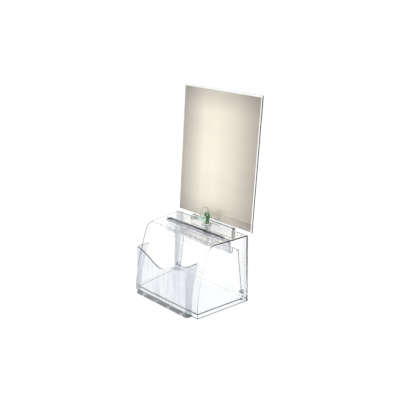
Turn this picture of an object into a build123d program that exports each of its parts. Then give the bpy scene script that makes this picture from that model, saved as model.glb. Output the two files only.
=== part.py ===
"""Clear moulded donation box with a brochure pocket, a keyed cam lock and a removable sign holder.

Frame: +Z up, +X to the right of a person facing the front, front towards -Y. The origin is on the
surface that the box stands on, under the middle of its bounding box. Every piece is drawn with the
box's rear plane at Y = 0 and moved by REAR_Y when it is saved.
"""

from build123d import *
import os
from math import atan, cos, degrees, radians, sin, tan

# Moulded shell
WALL = 2.5
BOND = 0.1  # thickness of the adhesive between bonded pieces
BOX_HEIGHT = 148.0
BOX_DEPTH = 136.0
REAR_HALF_WIDTH = 113.0
FRONT_HALF_WIDTH = 98.0
SIDE_DRAFT = 5.3  # each side wall comes in by this much from the bottom to the top
TOP_FLAT = 86.5  # depth of the flat top, from the rear plane to the rounded corner
CORNER_R = 21.6
LEAN = radians(19.1)  # the front leans back by this much above its lower curve
SIDE_EDGE_R = 3.0

LINE_R = 0.5  # two fine lines moulded across the rounded front corner
LINE_ANGLES = (radians(82), radians(40))  # how far up round the corner each of them is

# Slot in the top
SLOT_Y = -51.5
SLOT_LENGTH = 164.0
SLOT_WIDTH = 13.0
RIM_WIDTH = 3.0
RIM_HEIGHT = 1.5

# Guard under the slot
GUARD_Y = -42.5
GUARD_HALF_WIDTH = 96.0
GUARD_DROP = 28.0
GUARD_FOOT = 8.0
GUARD_LIP = 10.0

# Raised floor
FLOOR_TOP = 11.0
FLOOR_REAR_Y = -15.5
SILL_DEPTH = 19.0

# Brochure pocket on the front
POCKET_Y = -149.0
POCKET_HEIGHT = 110.0
POCKET_HALF_WIDTH = 81.0
POCKET_DRAFT = 4.0
POCKET_WALL = 2.5
POCKET_CORNER_R = 5.0
SCOOP_DEPTH = 26.0
SCOOP_HALF_WIDTH = 68.0
SCREW_HOLES = 4
SCREW_PITCH = 40.0
SCREW_HOLE_R = 3.0

# Rear frame and door
LIP = 2.0
LIP_DEPTH = 9.0
OPENING_TOP = 84.0  # half the width between the stiles, from the top down to STRAIGHT_Z
OPENING_FOOT = 98.0
STRAIGHT_Z = 100.0
EAR_Y = -9.5
EAR_X = 96.6
EAR_WIDTH = 5.0
APRON_BOTTOM = 111.0
SILL_TOP = FLOOR_TOP - WALL - BOND
DOOR_BOTTOM = 11.5
DOOR_TOP = 109.0
DOOR_GAP = 0.5
DOOR_FLANGE = 9.0
HINGE_Y = -5.0
HINGE_Z = 17.0
PIN_R = 2.0
PIN_CLEARANCE = 0.08

# Lock, in the top near the rear
LOCK_Y = -13.0
BARREL_R = 8.0
BARREL_LENGTH = 26.0
HEAD_R = 10.0
HEAD_HEIGHT = 2.5
PLUG_R = 6.0
PLUG_CLEARANCE = 0.05
NUT_ACROSS_FLATS = 20.0
NUT_HEIGHT = 4.0
TAIL = 6.0
CAM_THICKNESS = 2.0
CAM_REACH = 6.0
FINGER = 3.0
FINGER_LENGTH = 20.0

# Keys and their ring
BOW_R = 8.0
BOW_THICKNESS = 2.6
BOW_HOLE_R = 3.4
BOW_HOLE_OFFSET = 3.2
NECK = 8.0  # from the lock's face to the disc of the bow
NECK_WIDTH = 9.0
BLADE_WIDTH = 7.0
BLADE_THICKNESS = 1.8
BLADE_LENGTH = 24.0
BLADE_ROOT = 7.0  # length of blade held inside the moulded bow
KEYWAY_GAP = 0.2
RING_R = 12.0
RING_WIRE_R = 0.7
RING_AHEAD = 9.2  # from the standing key's middle plane forward to the ring's middle
RING_ABOVE = 9.9  # from the middle of the standing key's bow up to the ring's middle
SPARE_SAG = 2.3  # the spare key's hole has its middle this far below the ring's wire
SPARE_SLOPE = 12.0  # its blade slopes down to the left

# Sign holder and its sheet
SHEET_WIDTH = 215.9
SHEET_HEIGHT = 279.4
SHEET_THICKNESS = 0.4
PANEL = 1.6
SHEET_GAP = 1.0
HOLDER_BORDER = 3.6
HOLDER_TOP_MARGIN = 4.0
SIGN_LEAN = radians(3.7)
SIGN_Y = 6.8
SIGN_Z = 151.8  # bottom of the holder's wide part
TONGUE_HALF_WIDTH = 60.0
TONGUE_LENGTH = 24.0
SOCKET_HALF_WIDTH = 62.5
SOCKET_REAR_Y = 11.2
SOCKET_TOP = 150.6
SOCKET_BOTTOM = 125.0
SOCKET_CLEARANCE = 0.3

HOLDER_THICKNESS = 2 * PANEL + SHEET_GAP
HOLDER_HEIGHT = PANEL + SHEET_HEIGHT + HOLDER_TOP_MARGIN
HOLDER_HALF_WIDTH = SHEET_WIDTH / 2 + HOLDER_BORDER
SIDE_FLARE = (REAR_HALF_WIDTH - FRONT_HALF_WIDTH) / BOX_DEPTH
DRAFT_PER_MM = SIDE_DRAFT / BOX_HEIGHT
HEAD_TOP = BOX_HEIGHT + HEAD_HEIGHT
BARREL_BOTTOM = BOX_HEIGHT - BARREL_LENGTH
CAM_BOTTOM = BARREL_BOTTOM - CAM_THICKNESS
BOW_HEIGHT = NECK + BOW_R  # from the lock's face to the middle of the bow
HOLE_HEIGHT = BOW_HEIGHT + BOW_HOLE_OFFSET
REARMOST_Y = SIGN_Y + HOLDER_HEIGHT * sin(SIGN_LEAN) + HOLDER_THICKNESS / 2 * cos(SIGN_LEAN)
REAR_Y = -(REARMOST_Y + POCKET_Y) / 2  # puts the origin under the middle of the bounding box

OVER = 60.0  # how far cutting blocks run past what they cut
SIGN_PLANE = Plane(origin=(0, SIGN_Y, SIGN_Z), x_dir=(1, 0, 0), z_dir=(0, -cos(SIGN_LEAN), sin(SIGN_LEAN)))


def block(low, high):
    """A box between two opposite corners."""
    size = [b - a for a, b in zip(low, high)]
    return Pos(*low) * Box(*size, align=(Align.MIN, Align.MIN, Align.MIN))


def half_width(y, z, inset=0.0):
    """Half the shell's width, less inset, at a depth and a height."""
    return REAR_HALF_WIDTH + SIDE_FLARE * y - DRAFT_PER_MM * z - inset


def between_sides(inset, low_z=-OVER, high_z=BOX_HEIGHT + OVER):
    """Everything between the two flared, drafted side walls."""
    ends = (-BOX_DEPTH - OVER, OVER)
    sections = []
    for z in (low_z, high_z):
        front, rear = (half_width(y, z, inset) for y in ends)
        corners = [(-front, ends[0]), (front, ends[0]), (rear, ends[1]), (-rear, ends[1])]
        sections.append(Pos(0, 0, z) * make_face(Polyline(*corners, close=True)))
    return loft(sections, ruled=True)


def front_arc():
    """Centre and radius of the front's lower curve: upright at the foot, tangent to the leaning part."""
    y = -(TOP_FLAT + CORNER_R * cos(LEAN)) + BOX_DEPTH
    z = BOX_HEIGHT - CORNER_R + CORNER_R * sin(LEAN)
    radius = (y * cos(LEAN) - z * sin(LEAN)) / (cos(LEAN) - 1)
    return (-BOX_DEPTH + radius, 0.0), radius


def on_arc(centre, radius, angle):
    """A point of the side profile on an arc; the angle is from straight ahead (-Y) up towards +Z."""
    return (centre[0] - radius * cos(angle), centre[1] + radius * sin(angle))


def profile_block(inset=0.0, rear=0.0, bottom=0.0):
    """The side profile, less inset, drawn right across: flat top, rounded corner, leaning front."""
    corner = (-TOP_FLAT, BOX_HEIGHT - CORNER_R)
    foot, foot_r = front_arc()
    quarter = radians(90)
    top = BOX_HEIGHT - inset
    small, large = CORNER_R - inset, foot_r - inset
    outline = Line((rear, top), (-TOP_FLAT, top))
    outline += ThreePointArc(
        (-TOP_FLAT, top), on_arc(corner, small, (quarter + LEAN) / 2), on_arc(corner, small, LEAN)
    )
    outline += Line(on_arc(corner, small, LEAN), on_arc(foot, large, LEAN))
    outline += ThreePointArc(
        on_arc(foot, large, LEAN), on_arc(foot, large, LEAN / 2), on_arc(foot, large, 0)
    )
    if bottom < 0:
        outline += Line(on_arc(foot, large, 0), (inset - BOX_DEPTH, bottom))
    outline += Line((inset - BOX_DEPTH, bottom), (rear, bottom))
    outline += Line((rear, bottom), (rear, top))
    return extrude(make_face(Plane.YZ * outline), REAR_HALF_WIDTH + OVER, both=True)


def shell_outside():
    """The shell's outer form, solid right through, with its front side edges rounded."""
    form = profile_block() & between_sides(0)
    edges = [e for e in form.edges() if abs(e.center().X) > TOP_FLAT and (e @ 0.5).Y < -1]
    side_edges = [e for e in edges if abs((e @ 0).Z - (e @ 1).Z) > 1 or (e @ 0.5).Z > BOX_HEIGHT - 1]
    return fillet(side_edges, SIDE_EDGE_R)


def stadium(length, width, low, high):
    """A slot-shaped prism along X, between two heights, at the slot's place."""
    return Pos(0, SLOT_Y, low) * extrude(SlotOverall(length, width), high - low)


def make_shell(outside):
    cavity = profile_block(WALL, rear=OVER, bottom=-OVER) & between_sides(WALL)
    shell = outside - cavity
    rim_top = BOX_HEIGHT + RIM_HEIGHT
    shell += stadium(SLOT_LENGTH + 2 * RIM_WIDTH, SLOT_WIDTH + 2 * RIM_WIDTH, BOX_HEIGHT - 1, rim_top)
    shell -= stadium(SLOT_LENGTH, SLOT_WIDTH, BOX_HEIGHT - OVER, BOX_HEIGHT + OVER)
    for angle in LINE_ANGLES:
        y, z = on_arc((-TOP_FLAT, BOX_HEIGHT - CORNER_R), CORNER_R, angle)
        shell -= Pos(0, y, z) * Rot(0, 90, 0) * Cylinder(LINE_R, 3 * REAR_HALF_WIDTH)
    rims = [e for e in shell.edges() if abs(e.center().Z - rim_top) < 0.01]
    shell = fillet(rims, RIM_HEIGHT / 2)
    return shell - Pos(0, LOCK_Y, BOX_HEIGHT) * Cylinder(BARREL_R + 0.1, 4 * WALL)


def make_floor():
    """The raised floor: a plate held between the front and side walls, resting on the rear sill."""
    inside = profile_block(WALL + BOND, bottom=-OVER) & between_sides(WALL + BOND)
    slab = block((-200, -200, FLOOR_TOP - WALL), (200, FLOOR_REAR_Y, FLOOR_TOP))
    return inside & slab


def pocket_prism(inset, bottom):
    """The pocket's drafted form, less inset, run back into the box."""
    sections = []
    for z in (bottom, POCKET_HEIGHT + OVER):
        half = POCKET_HALF_WIDTH - inset - POCKET_DRAFT * z / POCKET_HEIGHT
        front = POCKET_Y + inset
        radius = POCKET_CORNER_R - inset
        corners = [(half, 0), (-half, 0), (-half, front), (half, front)]
        face = make_face(Polyline(*corners, close=True))
        front_corners = [v for v in face.vertices() if v.Y < front + 1]
        sections.append(Pos(0, 0, z) * fillet(front_corners, radius))
    return loft(sections, ruled=True)


def make_pocket():
    """Front wall with a scooped top edge, two side walls and a floor with screw holes."""
    walls = pocket_prism(0, 0) - pocket_prism(POCKET_WALL, POCKET_WALL)
    walls -= block((-200, POCKET_Y - OVER, POCKET_HEIGHT), (200, OVER, 3 * POCKET_HEIGHT))
    walls -= profile_block(-BOND, bottom=-OVER)
    low = POCKET_HEIGHT - SCOOP_DEPTH
    scoop = Spline(
        (-SCOOP_HALF_WIDTH, POCKET_HEIGHT),
        (0, low),
        (SCOOP_HALF_WIDTH, POCKET_HEIGHT),
        tangents=[(1, -0.25), (1, 0.25)],
    )
    scoop += Line((SCOOP_HALF_WIDTH, POCKET_HEIGHT), (SCOOP_HALF_WIDTH, POCKET_HEIGHT + 5))
    scoop += Line((SCOOP_HALF_WIDTH, POCKET_HEIGHT + 5), (-SCOOP_HALF_WIDTH, POCKET_HEIGHT + 5))
    scoop += Line((-SCOOP_HALF_WIDTH, POCKET_HEIGHT + 5), (-SCOOP_HALF_WIDTH, POCKET_HEIGHT))
    cut = extrude(make_face(Plane.XZ.offset(-POCKET_Y - 1.5 * POCKET_WALL) * scoop), 3 * POCKET_WALL)
    pocket = walls - cut
    hole_y = (POCKET_Y + POCKET_WALL - BOX_DEPTH) / 2
    for i in range(SCREW_HOLES):
        x = (i - (SCREW_HOLES - 1) / 2) * SCREW_PITCH
        pocket -= Pos(x, hole_y, 0) * Cylinder(SCREW_HOLE_R, 4 * POCKET_WALL)
    return pocket


def opening_prism(inset, front, rear):
    """The opening between the stiles, less inset, between two depths: upright, then flaring to the foot."""
    top, foot = OPENING_TOP - inset, OPENING_FOOT - inset
    corners = [(top, OVER + BOX_HEIGHT), (top, STRAIGHT_Z), (foot, 0)]
    corners += [(-x, z) for x, z in reversed(corners)]
    face = make_face(Plane.XZ.offset(-rear) * Polyline(*corners, close=True))
    return extrude(face, rear - front, dir=(0, -1, 0))


def make_rear_frame():
    """Bonded into the open rear: lips along the walls, stiles, an upper apron, a sill and the hinge ears."""
    top = BOX_HEIGHT - WALL - BOND
    across = between_sides(WALL + BOND)
    lips = (across - between_sides(WALL + LIP)) & block((-200, -LIP_DEPTH, 0), (200, 0, top))
    stiles = (across & block((-200, -WALL, 0), (200, 0, top))) - opening_prism(0, -OVER, OVER)
    apron = across & block((-200, -WALL, APRON_BOTTOM), (200, 0, top))
    sill = across & block((-200, -SILL_DEPTH, SILL_TOP - WALL), (200, 0, SILL_TOP))
    sill += across & block((-200, -WALL, 0), (200, 0, SILL_TOP))
    frame = lips + stiles + apron + sill + make_socket()
    frame -= block((-200, -OVER, top), (200, BOND, 200))
    for side in (-1, 1):
        ear = block((0, EAR_Y, SILL_TOP), (EAR_WIDTH, -WALL / 2, HINGE_Z + 6))
        ear = fillet([e for e in ear.edges() if e.center().Y < EAR_Y + 0.01 and e.center().Z > HINGE_Z], 3.0)
        left = EAR_X if side > 0 else -EAR_X - EAR_WIDTH
        frame += Pos(left, 0, 0) * ear
    return frame - Pos(0, HINGE_Y, HINGE_Z) * Rot(0, 90, 0) * Cylinder(PIN_R, 2 * (EAR_X + EAR_WIDTH - 1))


def make_door():
    """Flat panel with side flanges that turn on the hinge pins."""
    slab = block((-200, -OVER, DOOR_BOTTOM), (200, 0, DOOR_TOP))
    tray = opening_prism(DOOR_GAP, -DOOR_FLANGE, 0) & slab
    hollow = opening_prism(DOOR_GAP + WALL, -OVER, -WALL)
    bore = Pos(0, HINGE_Y, HINGE_Z) * Rot(0, 90, 0) * Cylinder(PIN_R + PIN_CLEARANCE, 2 * REAR_HALF_WIDTH)
    return tray - hollow - bore


def make_hinge_pins():
    """Two steel pins, pressed into the ears and reaching through the door's flanges."""
    outer = EAR_X + EAR_WIDTH - 1.0
    inner = EAR_X - WALL - 3.5
    pin = Rot(0, 90, 0) * Cylinder(PIN_R, outer - inner)
    return [Pos(s * (outer + inner) / 2, HINGE_Y, HINGE_Z) * pin for s in (-1, 1)]


def make_slot_guard():
    """Channel across the box under the slot's rear edge, so that nothing can be fished out."""
    under = BOX_HEIGHT - WALL - BOND
    front = block((-GUARD_HALF_WIDTH, GUARD_Y - 2, under - GUARD_DROP), (GUARD_HALF_WIDTH, GUARD_Y, under))
    foot = block(
        (-GUARD_HALF_WIDTH, GUARD_Y - 2, under - GUARD_DROP),
        (GUARD_HALF_WIDTH, GUARD_Y + GUARD_FOOT, under - GUARD_DROP + 2),
    )
    lip = block(
        (-GUARD_HALF_WIDTH, GUARD_Y + GUARD_FOOT - 2, under - GUARD_DROP),
        (GUARD_HALF_WIDTH, GUARD_Y + GUARD_FOOT, under - GUARD_DROP + GUARD_LIP),
    )
    return front + foot + lip


def make_door_catch():
    """The bracket on the door that the cam's finger drops behind."""
    shelf = block((-11, -13, 95), (11, -WALL - BOND, 97.5))
    lip = block((-3, -13, 95), (3, -11, 106))
    web = Polyline((-WALL - BOND, 95), (-11, 95), (-WALL - BOND, 84), close=True)
    rib = extrude(make_face(Plane.YZ * web), 1.25, both=True)
    return shelf + lip + Pos(-8, 0, 0) * rib + Pos(8, 0, 0) * rib


def sign_solid(half, low, high, front, back):
    """A plate in the sign's leaning plane: half its width, its ends up the lean, its faces fore and aft."""
    plate = block((-half, low, -back), (half, high, front))
    return SIGN_PLANE * plate


def make_socket():
    """Channel moulded on the rear of the apron, that the sign holder's tongue drops into."""
    body = block((-SOCKET_HALF_WIDTH, 0, SOCKET_BOTTOM), (SOCKET_HALF_WIDTH, SOCKET_REAR_Y, SOCKET_TOP))
    rear_edges = [e for e in body.edges() if (e @ 0.5).Y > SOCKET_REAR_Y - 0.01]
    body = fillet(rear_edges, 2.0)
    half = HOLDER_THICKNESS / 2 + SOCKET_CLEARANCE
    reach = TONGUE_HALF_WIDTH + SOCKET_CLEARANCE
    room = sign_solid(reach, -TONGUE_LENGTH - SOCKET_CLEARANCE, OVER, half, half)
    return body - room


def make_holder():
    """Clear pocket for one sheet, open at the top, closed at the foot and sides, with a tongue below."""
    half = HOLDER_THICKNESS / 2
    body = sign_solid(HOLDER_HALF_WIDTH, 0, HOLDER_HEIGHT, half, half)
    tongue = sign_solid(TONGUE_HALF_WIDTH, -TONGUE_LENGTH, 0, half, half)
    gap = SHEET_GAP / 2
    room = sign_solid(SHEET_WIDTH / 2 + 0.5, PANEL, HOLDER_HEIGHT + OVER, gap, gap)
    return body + tongue - room


def make_sheet():
    half = SHEET_THICKNESS / 2
    return sign_solid(SHEET_WIDTH / 2, PANEL, PANEL + SHEET_HEIGHT, half, half)


def make_barrel():
    body = Pos(0, LOCK_Y, (BARREL_BOTTOM + BOX_HEIGHT) / 2) * Cylinder(BARREL_R, BARREL_LENGTH)
    head = Pos(0, LOCK_Y, BOX_HEIGHT + HEAD_HEIGHT / 2) * Cylinder(HEAD_R, HEAD_HEIGHT)
    top_edge = [e for e in head.edges() if (e @ 0).Z > HEAD_TOP - 0.01]
    head = chamfer(top_edge, 0.8)
    barrel = body + head
    for i in range(9):
        z = BARREL_BOTTOM + 2 + 2 * i
        barrel -= Pos(0, LOCK_Y, z) * (Cylinder(BARREL_R + 1, 0.8) - Cylinder(BARREL_R - 0.4, 0.8))
    bore = Cylinder(PLUG_R + PLUG_CLEARANCE, 4 * BARREL_LENGTH)
    return barrel - Pos(0, LOCK_Y, BOX_HEIGHT) * bore


def make_nut():
    under = BOX_HEIGHT - WALL
    hexagon = extrude(RegularPolygon(NUT_ACROSS_FLATS / 2, 6, major_radius=False), NUT_HEIGHT)
    return Pos(0, LOCK_Y, under - NUT_HEIGHT) * (hexagon - Cylinder(BARREL_R + 0.02, 4 * NUT_HEIGHT))


def make_plug():
    """Turning core with a keyway from its top and a square tail for the cam."""
    core = Pos(0, LOCK_Y, (BARREL_BOTTOM + HEAD_TOP) / 2) * Cylinder(PLUG_R, HEAD_TOP - BARREL_BOTTOM)
    tail = block(
        (-TAIL / 2, LOCK_Y - TAIL / 2, CAM_BOTTOM), (TAIL / 2, LOCK_Y + TAIL / 2, BARREL_BOTTOM)
    )
    half_w, half_t = BLADE_WIDTH / 2 + KEYWAY_GAP, BLADE_THICKNESS / 2 + KEYWAY_GAP
    depth = BLADE_LENGTH + 1.0
    keyway = block(
        (-half_w, LOCK_Y - half_t, HEAD_TOP - depth), (half_w, LOCK_Y + half_t, HEAD_TOP + 1)
    )
    hole = Pos(0, LOCK_Y, CAM_BOTTOM) * Cylinder(1.4, 2 * CAM_THICKNESS)
    return core + tail - keyway - hole


def make_cam():
    """Flat cam on the plug's tail, with a finger turned down at its end."""
    plate = Pos(0, LOCK_Y, CAM_BOTTOM + CAM_THICKNESS / 2) * Cylinder(7.0, CAM_THICKNESS)
    end = CAM_REACH + FINGER / 2
    arm = block((0, LOCK_Y - 3, CAM_BOTTOM), (end, LOCK_Y + 3, CAM_BOTTOM + CAM_THICKNESS))
    finger = block(
        (end - FINGER, LOCK_Y - FINGER / 2, CAM_BOTTOM - FINGER_LENGTH),
        (end, LOCK_Y + FINGER / 2, CAM_BOTTOM),
    )
    half = TAIL / 2 + 0.05
    hole = block((-half, LOCK_Y - half, CAM_BOTTOM - 1), (half, LOCK_Y + half, BARREL_BOTTOM + 1))
    return plate + arm + finger - hole


def make_cam_screw():
    head = Pos(0, LOCK_Y, CAM_BOTTOM - 1.1) * Cylinder(3.8, 2.2)
    head = fillet([e for e in head.edges() if (e @ 0).Z < CAM_BOTTOM - 2], 0.9)
    shank = Pos(0, LOCK_Y, CAM_BOTTOM + 0.8) * Cylinder(1.35, 1.6)
    cross = Box(5, 0.9, 1.6) + Box(0.9, 5, 1.6)
    return head + shank - Pos(0, LOCK_Y, CAM_BOTTOM - 2.2) * cross


def key_pieces():
    """A key standing in the XZ plane with its shoulder at the origin: (blade, moulded bow)."""
    half = BLADE_WIDTH / 2
    outline = [(-half, BLADE_ROOT), (-half, 2 - BLADE_LENGTH), (0, -BLADE_LENGTH), (half, 2 - BLADE_LENGTH)]
    for i in range(5):
        z = 4.5 - BLADE_LENGTH + 3.4 * i
        bite = 1.0 + 0.5 * (i % 3)
        outline += [(half, z), (half - bite, z + 1.1), (half - bite, z + 1.6), (half, z + 2.7)]
    outline += [(half, BLADE_ROOT)]
    blade = extrude(make_face(Plane.XZ * Polyline(*outline, close=True)), BLADE_THICKNESS / 2, both=True)
    for side in (-1, 1):
        groove = Box(1.2, 0.8, BLADE_LENGTH - 1)
        blade -= Pos(-0.8, side * BLADE_THICKNESS / 2, -BLADE_LENGTH / 2 - 1) * groove
    disc = Rot(90, 0, 0) * Cylinder(BOW_R, BOW_THICKNESS)
    disc = fillet(disc.edges().filter_by(GeomType.CIRCLE), 0.6)
    neck = block(
        (-NECK_WIDTH / 2, -BOW_THICKNESS / 2, 1.0), (NECK_WIDTH / 2, BOW_THICKNESS / 2, BOW_HEIGHT - 4)
    )
    bow = Pos(0, 0, BOW_HEIGHT) * disc + neck
    bow -= Pos(0, 0, HOLE_HEIGHT) * Rot(90, 0, 0) * Cylinder(BOW_HOLE_R, 3 * BOW_THICKNESS)
    slot = block((-half, -BLADE_THICKNESS / 2, 0), (half, BLADE_THICKNESS / 2, BLADE_ROOT))
    return blade, bow - slot


def ring_centre():
    """The ring is held through the standing key's eye and reaches forward of it."""
    return (0, LOCK_Y - RING_AHEAD, HEAD_TOP + BOW_HEIGHT + RING_ABOVE)


def spare_place():
    """Where the spare key hangs: on the lowest point of the ring, its blade down to the left."""
    _, y, z = ring_centre()
    return Pos(0, y, z - RING_R - SPARE_SAG) * Rot(0, 90 - SPARE_SLOPE, 0) * Pos(0, 0, -HOLE_HEIGHT)


def save(name, *solids):
    """Writes one node's STEP file, moved from the drawing's rear plane to the part's frame."""
    moved = [Pos(0, REAR_Y, 0) * s for s in solids]
    shape = moved[0] if len(moved) == 1 else Compound(children=moved)
    export_step(shape, f"parts/{name}.step")


def main():
    os.makedirs("parts", exist_ok=True)
    outside = shell_outside()
    save("shell", make_shell(outside))
    save("floor_panel", make_floor())
    save("brochure_pocket", make_pocket())
    save("rear_frame", make_rear_frame())
    save("rear_door", make_door())
    save("hinge_pins", *make_hinge_pins())
    save("door_catch", make_door_catch())
    save("slot_guard", make_slot_guard())
    save("sign_holder", make_holder())
    save("sign_sheet", make_sheet())
    save("lock_barrel", make_barrel())
    save("lock_nut", make_nut())
    save("lock_plug", make_plug())
    save("lock_cam", make_cam())
    save("cam_screw", make_cam_screw())
    blade, bow = key_pieces()
    save("key_blade", Pos(0, LOCK_Y, HEAD_TOP) * blade)
    save("key_bow", Pos(0, LOCK_Y, HEAD_TOP) * bow)
    save("key_ring", Pos(*ring_centre()) * Rot(0, 90, 0) * Torus(RING_R, RING_WIRE_R))
    save("spare_key_blade", spare_place() * blade)
    save("spare_key_bow", spare_place() * bow)


main()
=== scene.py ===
import math

import bmesh
import bpy
from mathutils import Matrix, Vector


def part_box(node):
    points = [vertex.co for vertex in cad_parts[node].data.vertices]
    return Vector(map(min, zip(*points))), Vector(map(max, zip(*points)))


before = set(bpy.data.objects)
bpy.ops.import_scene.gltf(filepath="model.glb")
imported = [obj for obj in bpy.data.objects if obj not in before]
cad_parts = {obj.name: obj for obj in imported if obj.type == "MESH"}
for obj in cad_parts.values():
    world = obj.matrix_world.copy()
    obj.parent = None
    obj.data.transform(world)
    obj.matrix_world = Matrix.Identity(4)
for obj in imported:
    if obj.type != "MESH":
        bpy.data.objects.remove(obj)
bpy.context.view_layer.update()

# ---------------------------------------------------------------- camera

# Fitted to the photograph with the box's rear edge at Y = 0; the frame has it at REAR_EDGE.
REAR_EDGE = 0.06086
CAMERA_PLACE = (0.9383, REAR_EDGE - 0.9642, 0.648)
YAW, PITCH, ROLL = math.radians(45.29), math.radians(18.45), math.radians(0.59)
LENS, SENSOR = 59.08, 36
NEAREST, FARTHEST = 0.01, 100

forward = Vector((
    -math.sin(YAW) * math.cos(PITCH),
    math.cos(YAW) * math.cos(PITCH),
    -math.sin(PITCH),
))
level = Vector((math.cos(YAW), math.sin(YAW), 0))
upright = level.cross(forward)
right = math.cos(ROLL) * level + math.sin(ROLL) * upright
up = -math.sin(ROLL) * level + math.cos(ROLL) * upright
axes = Matrix((right, up, -forward)).transposed().to_4x4()
camera = bpy.data.objects.new("camera", bpy.data.cameras.new("camera"))
bpy.context.scene.collection.objects.link(camera)
camera.matrix_world = Matrix.Translation(CAMERA_PLACE) @ axes
camera.data.lens = LENS
camera.data.sensor_width = SENSOR
camera.data.clip_start = NEAREST
camera.data.clip_end = FARTHEST
bpy.context.scene.camera = camera

# ---------------------------------------------------------------- measures of the part, in metres

BOX_TOP = 0.148  # the shell's flat top, under the slot's raised rim
RIM_FADE = 0.0003  # how far above the flat top the rim's painted shade is full
SHELL_FOOT = 0.01  # the lowest part of the shell, over which its lower edge is painted dark as shade
WALL = 0.0025  # of the brochure pocket
POCKET_FRONT = 0.005  # the foremost part of the pocket, which holds its front wall
POCKET_FOOT = 0.02  # the lowest part of the pocket, which holds its floor
HOLE_PITCH = 0.04  # the row of four screw holes in the pocket's floor
HOLE_RADIUS = 0.003
HOLE_HIGHLIGHT = (0.001, 0.0016)  # beyond a hole's edge, where its painted highlight, a bright ring, starts and stops to fade
HOLE_ROW_Y = (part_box("brochure_pocket")[0][1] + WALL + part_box("shell")[0][1]) / 2

# ---------------------------------------------------------------- node helpers

WHITE = (1, 1, 1)
BLACK = (0, 0, 0)


def new_material(name):
    """A material with its Principled shader: (material, nodes, links, shader)."""
    m = bpy.data.materials.new(name)
    m.use_nodes = True
    nodes, links = m.node_tree.nodes, m.node_tree.links
    return m, nodes, links, nodes["Principled BSDF"]


def coords(nodes, links, scale=(1, 1, 1)):
    """Object coordinates, in metres, scaled."""
    where = nodes.new("ShaderNodeTexCoord")
    mapping = nodes.new("ShaderNodeMapping")
    mapping.inputs["Scale"].default_value = scale
    links.new(where.outputs["Object"], mapping.inputs["Vector"])
    return mapping.outputs["Vector"]


def noise(nodes, links, vector, scale, detail, rough=0.5):
    """Noise between 0 and 1."""
    n = nodes.new("ShaderNodeTexNoise")
    n.inputs["Scale"].default_value = scale
    n.inputs["Detail"].default_value = detail
    n.inputs["Roughness"].default_value = rough
    links.new(vector, n.inputs["Vector"])
    return n.outputs["Fac"]


def set_stops(elements, stops):
    """Gives a new colour ramp its stops."""
    elements[0].position, elements[0].color = stops[0][0], (*stops[0][1], 1)
    elements[1].position, elements[1].color = stops[-1][0], (*stops[-1][1], 1)
    for position, colour in stops[1:-1]:
        elements.new(position).color = (*colour, 1)


def ramp(nodes, links, value, stops):
    """Colour ramp; stops are (position, colour)."""
    r = nodes.new("ShaderNodeValToRGB")
    set_stops(r.color_ramp.elements, stops)
    links.new(value, r.inputs["Fac"])
    return r.outputs["Color"]


def span(nodes, links, value, low, high):
    """Maps 0..1 to low..high."""
    n = nodes.new("ShaderNodeMapRange")
    n.inputs["To Min"].default_value = low
    n.inputs["To Max"].default_value = high
    links.new(value, n.inputs["Value"])
    return n.outputs["Result"]


def portion(nodes, links, value, low, high):
    """Maps low..high to 0..1, and holds the ends beyond them."""
    n = nodes.new("ShaderNodeMapRange")
    n.inputs["From Min"].default_value = low
    n.inputs["From Max"].default_value = high
    links.new(value, n.inputs["Value"])
    return n.outputs["Result"]


def bump(nodes, links, shader, height, distance, strength=1.0):
    """Raises the surface by a height of 0 to 1, times the distance in metres."""
    n = nodes.new("ShaderNodeBump")
    n.inputs["Strength"].default_value = strength
    n.inputs["Distance"].default_value = distance
    links.new(height, n.inputs["Height"])
    links.new(n.outputs["Normal"], shader.inputs["Normal"])


def multiplied(nodes, links, a, b):
    """Product of two colours."""
    n = nodes.new("ShaderNodeMix")
    n.data_type = "RGBA"
    n.blend_type = "MULTIPLY"
    n.inputs["Factor"].default_value = 1.0
    links.new(a, n.inputs["A"])
    links.new(b, n.inputs["B"])
    return n.outputs["Result"]


def blended(nodes, links, amount, a, b):
    """Mixes from a plain colour to another colour's output."""
    n = nodes.new("ShaderNodeMix")
    n.data_type = "RGBA"
    links.new(amount, n.inputs["Factor"])
    n.inputs["A"].default_value = (*a, 1)
    links.new(b, n.inputs["B"])
    return n.outputs["Result"]


def axis_of(nodes, links, output, axis):
    """One axis of the object's coordinates ("Object") or of its faces' directions ("Normal")."""
    where = nodes.new("ShaderNodeTexCoord")
    parts = nodes.new("ShaderNodeSeparateXYZ")
    links.new(where.outputs[output], parts.inputs["Vector"])
    return parts.outputs[axis]


def along_axis(nodes, links, axis, low, high):
    """0 to 1 between two places along an axis of the object."""
    return portion(nodes, links, axis_of(nodes, links, "Object", axis), low, high)


def facing(nodes, links, axis):
    """0 to 1 from faces that look down an axis of the object to faces that look up it."""
    return portion(nodes, links, axis_of(nodes, links, "Normal", axis), -1, 1)


# ---------------------------------------------------------------- shades of single pieces


def shell_shade(nodes, links):
    """Painted shade: a dark lower edge, and the slot's raised rim painted dark in dashes, as the
    dark lines at the clear walls' edges.
    """
    # colour of the painted shade along the lower edge
    painted_edge_shade = (0.30, 0.31, 0.33)
    height = along_axis(nodes, links, "Z", 0.0, SHELL_FOOT)
    foot = ramp(nodes, links, height, [(0.15, painted_edge_shade), (0.2, WHITE)])
    broken = noise(nodes, links, coords(nodes, links), scale=300, detail=2)
    dashes = ramp(nodes, links, broken, [(0.42, (0.40, 0.41, 0.44)), (0.55, (0.80, 0.81, 0.83))])
    raised = along_axis(nodes, links, "Z", BOX_TOP, BOX_TOP + RIM_FADE)
    return multiplied(nodes, links, foot, blended(nodes, links, raised, WHITE, dashes))


def panel_shade(nodes, links):
    """Painted shade: the rim faces of a flat panel are painted darker than its two faces."""
    # colour of the painted shade on the rim faces
    painted_edge_shade = (0.34, 0.35, 0.37)
    return ramp(nodes, links, facing(nodes, links, "Z"), [
        (0.2, WHITE), (0.3, painted_edge_shade), (0.7, painted_edge_shade), (0.8, WHITE),
    ])


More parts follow.
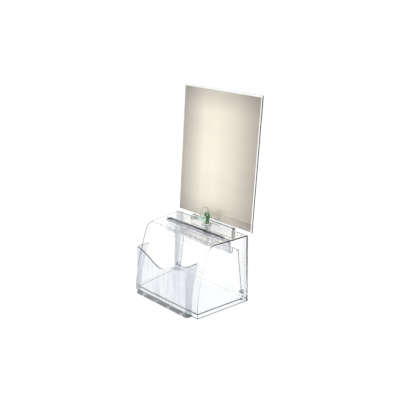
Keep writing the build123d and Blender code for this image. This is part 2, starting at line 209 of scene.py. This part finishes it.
def by_the_holes(nodes, links):
    """0 at the pocket's screw holes and 1 away from them: the mask of their painted highlights."""
    across = nodes.new("ShaderNodeMath")
    across.operation = "WRAP"
    across.inputs[1].default_value = HOLE_PITCH
    across.inputs[2].default_value = 0.0
    links.new(axis_of(nodes, links, "Object", "X"), across.inputs[0])
    place = nodes.new("ShaderNodeCombineXYZ")
    links.new(across.outputs[0], place.inputs["X"])
    links.new(axis_of(nodes, links, "Object", "Y"), place.inputs["Y"])
    away = nodes.new("ShaderNodeVectorMath")
    away.operation = "DISTANCE"
    away.inputs[1].default_value = (HOLE_PITCH / 2, HOLE_ROW_Y, 0.0)
    links.new(place.outputs["Vector"], away.inputs[0])
    starts, stops = HOLE_HIGHLIGHT
    return portion(
        nodes, links, away.outputs["Value"], HOLE_RADIUS + starts, HOLE_RADIUS + stops,
    )


def pocket_shade(nodes, links):
    """Painted shade: a grey floor behind the front wall with painted bright rings at its holes,
    and grey side walls with grey streaks.
    """
    low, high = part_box("brochure_pocket")
    depth = along_axis(nodes, links, "Y", low[1], low[1] + POCKET_FRONT)
    behind = ramp(nodes, links, depth, [(0.5, BLACK), (0.62, WHITE)])
    # painted shade: the pocket's floor is grey
    foot = ramp(nodes, links, along_axis(nodes, links, "Z", 0.0, POCKET_FOOT), [
        (0.13, (0.14, 0.145, 0.16)), (0.2, (0.90, 0.91, 0.92)), (1.0, WHITE),
    ])
    # painted shade: the side walls are grey
    sides = ramp(nodes, links, along_axis(nodes, links, "X", low[0], high[0]), [
        (0.0, (0.66, 0.69, 0.72)), (0.02, (0.68, 0.71, 0.74)), (0.05, WHITE),
        (0.95, WHITE), (0.98, (0.68, 0.71, 0.74)), (1.0, (0.66, 0.69, 0.72)),
    ])
    upward = coords(nodes, links, (1, 1, 0.08))
    streaks = ramp(nodes, links, noise(nodes, links, upward, scale=180, detail=3, rough=0.6), [
        (0.38, (0.84, 0.86, 0.88)), (0.58, WHITE),
    ])
    floor_here = nodes.new("ShaderNodeMath")
    floor_here.operation = "MULTIPLY"
    links.new(behind, floor_here.inputs[0])
    links.new(by_the_holes(nodes, links), floor_here.inputs[1])
    # the floor's painted shade is lifted at the front wall and at the holes' painted bright rings
    lit = blended(nodes, links, floor_here.outputs[0], (0.97, 0.97, 0.98), foot)
    return multiplied(nodes, links, multiplied(nodes, links, lit, sides), streaks)


def guard_shade(nodes, links):
    """Painted shade: a dark band along the guard's top, broken into short dashes."""
    low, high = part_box("slot_guard")
    polished = (0.97, 0.975, 0.98)
    # painted shade: a little darker at the foot, dark in a band at the top
    painted_band = ramp(nodes, links, along_axis(nodes, links, "Z", low[2], high[2]), [
        (0.0, (0.86, 0.87, 0.89)), (0.08, polished), (0.62, polished),
        (0.70, (0.55, 0.56, 0.59)), (1.0, (0.42, 0.43, 0.46)),
    ])
    broken = noise(nodes, links, coords(nodes, links, (1, 1, 0.6)), scale=260, detail=2)
    dashes = ramp(nodes, links, broken, [(0.42, (0.70, 0.71, 0.73)), (0.56, WHITE)])
    return multiplied(nodes, links, painted_band, dashes)


def frame_shade(nodes, links):
    """Painted shade where the rear frame's lips run down the side walls, on the left most of all.
    """
    low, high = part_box("rear_frame")
    return ramp(nodes, links, along_axis(nodes, links, "X", low[0], high[0]), [
        (0.0, (0.58, 0.61, 0.65)), (0.09, (0.62, 0.65, 0.68)), (0.12, WHITE),
        (0.88, WHITE), (0.91, (0.90, 0.91, 0.92)), (1.0, (0.88, 0.89, 0.90)),
    ])


# ---------------------------------------------------------------- materials

CLEAR_IOR = 1.49
CLEAR_ABSORBS = (0.60, 0.63, 0.66, 1)
CLEAR_SHADOW = (0.96, 0.965, 0.97, 1)
SMEAR_TINTS = (0.965, 0.968, 0.971), (0.998, 0.999, 1.0)
RUBBED = 0.72  # how bright the dark spots of plated metal are
FINE = 0.00002  # depth of brushing on metal and of grain on moulded plastic
FINE_STRENGTH = 0.4


def let_light_through(nodes, links, shader):
    """Lamps and bounced light pass a clear wall unbent, so that what is behind it is lit."""
    path = nodes.new("ShaderNodeLightPath")
    either = nodes.new("ShaderNodeMath")
    either.operation = "MAXIMUM"
    links.new(path.outputs["Is Shadow Ray"], either.inputs[0])
    links.new(path.outputs["Is Diffuse Ray"], either.inputs[1])
    see_through = nodes.new("ShaderNodeBsdfTransparent")
    see_through.inputs["Color"].default_value = CLEAR_SHADOW
    mix = nodes.new("ShaderNodeMixShader")
    links.new(either.outputs[0], mix.inputs["Fac"])
    links.new(shader.outputs["BSDF"], mix.inputs[1])
    links.new(see_through.outputs["BSDF"], mix.inputs[2])
    links.new(mix.outputs["Shader"], nodes["Material Output"].inputs["Surface"])


def clear_plastic(name, waviness, density, shade=None):
    """Polished clear moulding: gentle waves, faint smears, a tint that deepens along walls."""
    m, nodes, links, s = new_material(name)
    stretched = coords(nodes, links, (1, 1, 2.5))
    smears = noise(nodes, links, stretched, scale=14, detail=4, rough=0.6)
    s.inputs["Transmission Weight"].default_value = 1.0
    s.inputs["IOR"].default_value = CLEAR_IOR
    tint = ramp(nodes, links, smears, [(0.3, SMEAR_TINTS[0]), (0.7, SMEAR_TINTS[1])])
    if shade is not None:
        tint = multiplied(nodes, links, tint, shade(nodes, links))
    links.new(tint, s.inputs["Base Color"])
    links.new(span(nodes, links, smears, low=0.0, high=0.06), s.inputs["Roughness"])
    waves = noise(nodes, links, coords(nodes, links), scale=22, detail=2, rough=0.4)
    bump(nodes, links, s, waves, waviness)
    absorb = nodes.new("ShaderNodeVolumeAbsorption")
    absorb.inputs["Color"].default_value = CLEAR_ABSORBS
    absorb.inputs["Density"].default_value = density
    links.new(absorb.outputs["Volume"], nodes["Material Output"].inputs["Volume"])
    let_light_through(nodes, links, s)
    return m


def sheet_card(name):
    """Cream sheet with painted light and shade: brightest in a pale band, painted darker towards
    its edges and corners.
    """
    m, nodes, links, s = new_material(name)
    low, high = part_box("sign_sheet")
    # painted light and shade across the sheet
    across = ramp(nodes, links, along_axis(nodes, links, "X", low[0], high[0]), [
        (0.0, (0.375, 0.33, 0.27)), (0.10, (0.53, 0.475, 0.39)),
        (0.30, (0.88, 0.79, 0.645)), (0.46, (0.91, 0.82, 0.665)),
        (0.72, (0.735, 0.66, 0.535)), (0.9, (0.51, 0.455, 0.365)), (1.0, (0.40, 0.355, 0.285)),
    ])
    # painted shade towards the bottom and, most of all, the top
    upward = ramp(nodes, links, along_axis(nodes, links, "Z", low[2], high[2]), [
        (0.0, (0.74, 0.74, 0.74)), (0.16, (0.97, 0.97, 0.97)), (0.5, WHITE),
        (0.84, (0.95, 0.95, 0.95)), (1.0, (0.60, 0.61, 0.62)),
    ])
    links.new(multiplied(nodes, links, across, upward), s.inputs["Base Color"])
    fibre = noise(nodes, links, coords(nodes, links), scale=900, detail=4, rough=0.6)
    links.new(span(nodes, links, fibre, low=0.42, high=0.6), s.inputs["Roughness"])
    bump(nodes, links, s, fibre, distance=0.00004, strength=0.5)
    return m


def plated(name, colour, rough, brush=(1, 1, 1)):
    """Plated metal with fine brushing and rubbed spots."""
    m, nodes, links, s = new_material(name)
    s.inputs["Metallic"].default_value = 1.0
    wear = noise(nodes, links, coords(nodes, links), scale=160, detail=4, rough=0.6)
    dark = tuple(RUBBED * c for c in colour)
    links.new(ramp(nodes, links, wear, [(0.35, dark), (0.62, colour)]), s.inputs["Base Color"])
    links.new(span(nodes, links, wear, rough * 0.6, rough * 1.7), s.inputs["Roughness"])
    lines = noise(nodes, links, coords(nodes, links, brush), scale=600, detail=2)
    bump(nodes, links, s, lines, FINE, FINE_STRENGTH)
    return m


def moulded(name, colour, pale):
    """Glossy moulded plastic with slight colour variation and handling marks."""
    m, nodes, links, s = new_material(name)
    mottling = noise(nodes, links, coords(nodes, links), scale=240, detail=4, rough=0.6)
    links.new(ramp(nodes, links, mottling, [(0.3, colour), (0.7, pale)]), s.inputs["Base Color"])
    links.new(span(nodes, links, mottling, low=0.18, high=0.42), s.inputs["Roughness"])
    s.inputs["Coat Weight"].default_value = 0.4
    grain = noise(nodes, links, coords(nodes, links), scale=1400, detail=2)
    bump(nodes, links, s, grain, FINE, FINE_STRENGTH)
    return m


CLEAR = clear_plastic("clear_moulding", waviness=0.00016, density=3.0)
SHELL = clear_plastic("clear_shell", waviness=0.00016, density=3.0, shade=shell_shade)
PANEL = clear_plastic("clear_panel", waviness=0.00012, density=3.0, shade=panel_shade)
POCKET = clear_plastic("clear_pocket", waviness=0.00022, density=5.0, shade=pocket_shade)
FRAME = clear_plastic("clear_frame", waviness=0.00012, density=4.0, shade=frame_shade)
GUARD = clear_plastic("clear_guard", waviness=0.00016, density=6.0, shade=guard_shade)
THIN = clear_plastic("clear_sheet", waviness=0.00004, density=4.0)
NICKEL = plated("bright_nickel", (0.80, 0.81, 0.82), rough=0.16)
STEEL = plated("zinc_steel", (0.60, 0.61, 0.63), rough=0.28)
BRASS = plated("key_alloy", (0.74, 0.725, 0.68), rough=0.26, brush=(1, 1, 0.1))
GREEN = moulded("dark_green_plastic", (0.035, 0.14, 0.045), (0.06, 0.20, 0.07))
# Painted light: the spare key's bow is the same green plastic as the other bow, made pale as if
# lit.
PAINTED_LIT_GREEN = moulded("pale_green_plastic", (0.50, 0.66, 0.52), (0.62, 0.77, 0.64))
CARD = sheet_card("cream_sheet")

FINISH = {
    "shell": SHELL, "floor_panel": PANEL, "brochure_pocket": POCKET, "rear_frame": FRAME,
    "rear_door": CLEAR, "door_catch": CLEAR, "slot_guard": GUARD, "sign_holder": THIN,
    "sign_sheet": CARD, "lock_barrel": NICKEL, "lock_nut": NICKEL, "lock_plug": NICKEL,
    "lock_cam": NICKEL, "hinge_pins": STEEL, "cam_screw": STEEL, "key_ring": STEEL,
    "key_blade": BRASS, "spare_key_blade": BRASS, "key_bow": GREEN, "spare_key_bow": PAINTED_LIT_GREEN,
}
for node, material in FINISH.items():
    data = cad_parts[node].data
    data.materials.clear()
    data.materials.append(material)

# ---------------------------------------------------------------- floor and light

FLOOR_HALF_SIZE = 60  # far enough that its edge doesn't show as a horizon
FLOOR_Z = -0.0002
FLOOR_GLOW = 0.08
SKY_STRENGTH = 1.20
# (place from 0, straight down, to 1, straight up; brightness there)
SKY_STOPS = [(0.66, 1.0), (0.90, 0.75), (1.0, 0.45)]
BOUNCES = 28  # a ray crosses many clear walls


def floor_material():
    """Nearly white, matt, with a faint grain and a slight glow of its own."""
    m, nodes, links, s = new_material("pale_floor")
    grain = noise(nodes, links, coords(nodes, links), scale=30, detail=3)
    tones = [(0.3, (0.96, 0.96, 0.96)), (0.7, (0.98, 0.98, 0.98))]
    links.new(ramp(nodes, links, grain, tones), s.inputs["Base Color"])
    s.inputs["Roughness"].default_value = 0.7
    s.inputs["Specular IOR Level"].default_value = 0.2
    s.inputs["Emission Color"].default_value = (*WHITE, 1)
    s.inputs["Emission Strength"].default_value = FLOOR_GLOW
    return m


mesh = bpy.data.meshes.new("floor")
bm = bmesh.new()
bmesh.ops.create_grid(bm, x_segments=1, y_segments=1, size=FLOOR_HALF_SIZE)
bm.to_mesh(mesh)
bm.free()
floor = bpy.data.objects.new("floor", mesh)
floor.location = (0, 0, FLOOR_Z)
bpy.context.scene.collection.objects.link(floor)
floor.data.materials.append(floor_material())


def soft_light(name, place, target, size, power):
    """Square lamp that looks at a target."""
    data = bpy.data.lights.new(name, "AREA")
    data.size = size
    data.energy = power
    lamp = bpy.data.objects.new(name, data)
    bpy.context.scene.collection.objects.link(lamp)
    lamp.location = place
    lamp.rotation_mode = "QUATERNION"
    lamp.rotation_quaternion = (Vector(target) - Vector(place)).to_track_quat("-Z", "Y")


soft_light("overhead", place=(0.2, -0.3, 2.2), target=(0, 0, 0.1), size=2.0, power=9)
soft_light("front_fill", place=(-1.2, -1.8, 1.2), target=(0, 0, 0.2), size=1.0, power=4)

world = bpy.data.worlds.new("studio")
world.use_nodes = True
bpy.context.scene.world = world
nodes, links = world.node_tree.nodes, world.node_tree.links
where = nodes.new("ShaderNodeTexCoord")
parts = nodes.new("ShaderNodeSeparateXYZ")
links.new(where.outputs["Generated"], parts.inputs["Vector"])
upwards = portion(nodes, links, parts.outputs["Z"], -1, 1)
sky = ramp(nodes, links, upwards, [(place, (v, v, v)) for place, v in SKY_STOPS])
links.new(sky, nodes["Background"].inputs["Color"])
nodes["Background"].inputs["Strength"].default_value = SKY_STRENGTH

scene = bpy.context.scene
scene.view_settings.view_transform = "Standard"
scene.cycles.max_bounces = BOUNCES
scene.cycles.transmission_bounces = BOUNCES
scene.cycles.transparent_max_bounces = BOUNCES
